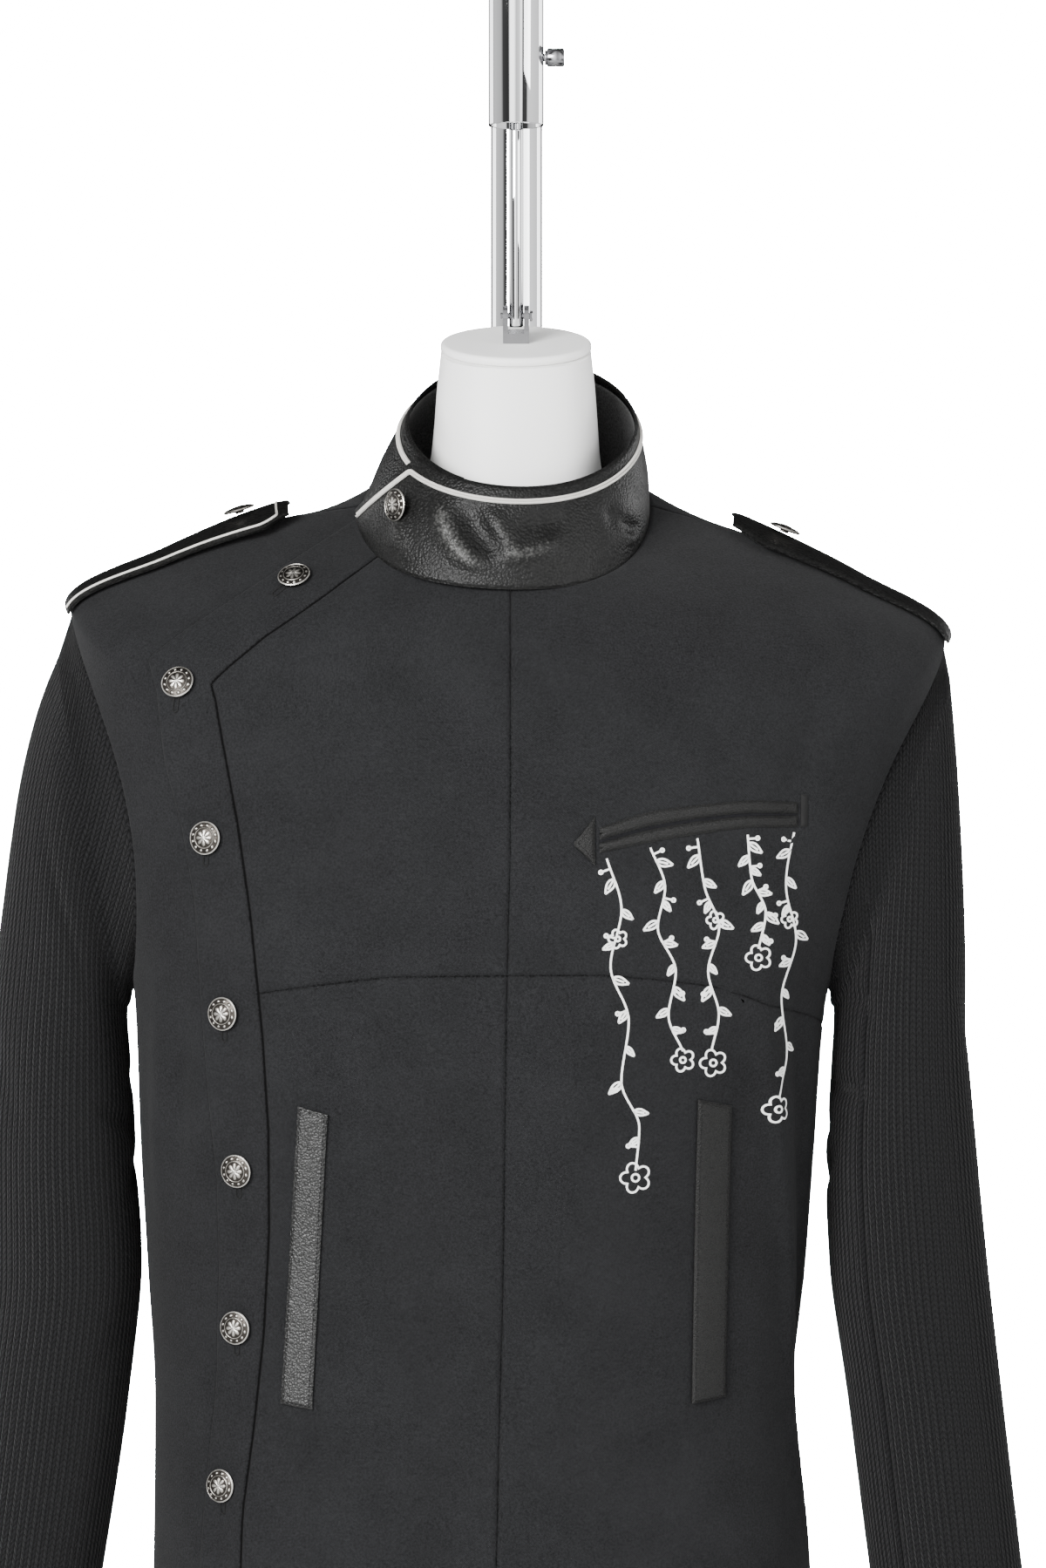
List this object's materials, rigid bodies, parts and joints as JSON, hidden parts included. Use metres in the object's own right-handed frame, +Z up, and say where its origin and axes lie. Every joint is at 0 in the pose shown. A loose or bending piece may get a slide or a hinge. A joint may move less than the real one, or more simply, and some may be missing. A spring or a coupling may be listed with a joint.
{
  "type": "high-neck jacket on a dress form stand",
  "caption": "High-neck jacket with a side-buttoned cloth front, leather stand collar and knit sleeves, worn by a limbless dress form that hangs from a steel stand.",
  "frame": {"origin": "on the floor under the axis of the form's neck, at the underside of the stand's base", "axes": "+X to the wearer's left, -Y to the front, +Z up"},
  "size_m": [0.636, 0.4, 1.3197],
  "materials": {
    "suiting": "matt charcoal wool suiting",
    "leather": "soft semi-gloss black leather",
    "knit": "black chunky wool knit",
    "braid": "off-white woven braid",
    "antique_silver": "antique silver with darkened recesses",
    "form_cover": "off-white satin cover",
    "chrome": "polished",
    "brushed_steel": "brushed"
  },
  "bodies": {
    "stand": {"base": "brushed_steel", "pole_socket": "brushed_steel", "pole": "chrome", "tube_guide": "brushed_steel"},
    "torso": {"front_right": "suiting", "front_band": "suiting", "plastron_upper": "suiting", "plastron_lower": "suiting", "chest_left": "suiting", "front_lower_left": "suiting", "back_left": "suiting", "back_right": "suiting", "collar_facing": "suiting", "collar": "leather", "epaulette_left": "leather", "epaulette_right": "leather", "welt_left": "leather", "welt_right": "leather", "jet_upper": "leather", "jet_lower": "leather", "pocket_tab": "leather", "pocket_tack": "leather", "sleeve_left": "knit", "sleeve_right": "knit", "collar_piping": "braid", "epaulette_piping": "braid", "button_1": "antique_silver", "button_2": "antique_silver", "button_3": "antique_silver", "button_4": "antique_silver", "button_5": "antique_silver", "button_6": "antique_silver", "button_7": "antique_silver", "button_8": "antique_silver", "button_collar": "antique_silver", "button_epaulette_left": "antique_silver", "button_epaulette_right": "antique_silver", "form_torso": "form_cover", "form_cap": "form_cover", "rod": "chrome", "clevis": "chrome", "clevis_pin": "chrome"},
    "knob": {"knob": "chrome"}
  },
  "joints": [
    {"name": "height_slide", "type": "slide", "parent": "stand", "child": "torso", "axis": [0, 0, 1], "range_m": [-0.03, 0.06]},
    {"name": "knob_turn", "type": "hinge", "parent": "stand", "child": "knob", "pos_m": [0.022, 0, 1.0917], "axis": [1, 0, 0], "range_deg": [-90, 90]}
  ]
}
